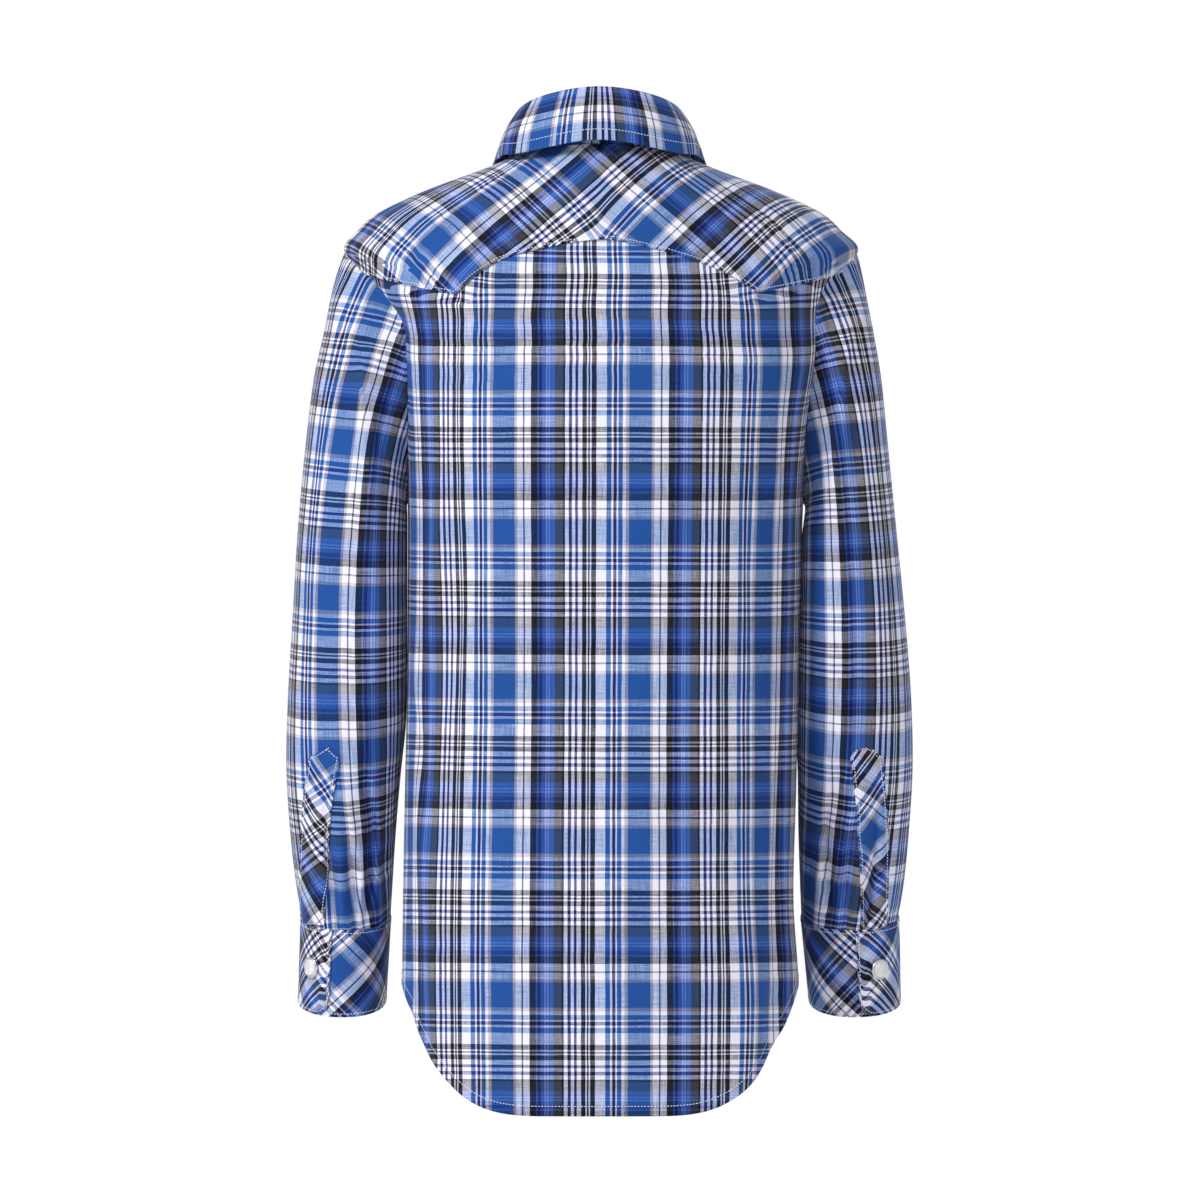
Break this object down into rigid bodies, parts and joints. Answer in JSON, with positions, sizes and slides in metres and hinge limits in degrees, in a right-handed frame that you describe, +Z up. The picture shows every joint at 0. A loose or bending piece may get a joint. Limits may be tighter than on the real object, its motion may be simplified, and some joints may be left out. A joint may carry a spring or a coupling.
{
  "type": "western snap shirt",
  "caption": "Long-sleeved plaid western shirt, worn and hollow, with pointed bias yokes, a fold-over collar, a curved shirttail hem, and a placket and cuffs closed by pearl snaps.",
  "frame": {"origin": "middle of the neck, level with the collar seam at the back, where the wearer's neck fills the collar", "axes": "+Z up, +Y towards the front of the shirt, +X towards the wearer's right"},
  "size_m": [0.3904, 0.2119, 0.6377],
  "materials": {
    "plaid_straight": "yarn-dyed cotton plaid in blue, white, navy and charcoal, cut on the straight grain, matt with a faint sheen",
    "plaid_bias": "the same yarn-dyed plaid cut on the bias at 45 degrees, matt with a faint sheen",
    "snap_pearl": "pearly white cap in a silver prong ring"
  },
  "bodies": {
    "root": {"back_panel": "plaid_straight", "back_yoke": "plaid_bias", "front_right": "plaid_straight", "front_left": "plaid_straight", "front_yoke_right": "plaid_bias", "front_yoke_left": "plaid_bias", "front_placket": "plaid_bias", "sleeve_right": "plaid_straight", "sleeve_left": "plaid_straight", "sleeve_placket_right": "plaid_bias", "sleeve_placket_left": "plaid_bias", "cuff_right": "plaid_bias", "cuff_left": "plaid_bias", "collar_stand": "plaid_straight", "collar_leaf": "plaid_straight", "snap_front_1": "snap_pearl", "snap_front_2": "snap_pearl", "snap_front_3": "snap_pearl", "snap_front_4": "snap_pearl", "snap_front_5": "snap_pearl", "snap_front_6": "snap_pearl", "snap_front_7": "snap_pearl", "snap_cuff_right": "snap_pearl", "snap_cuff_left": "snap_pearl"}
  },
  "joints": []
}
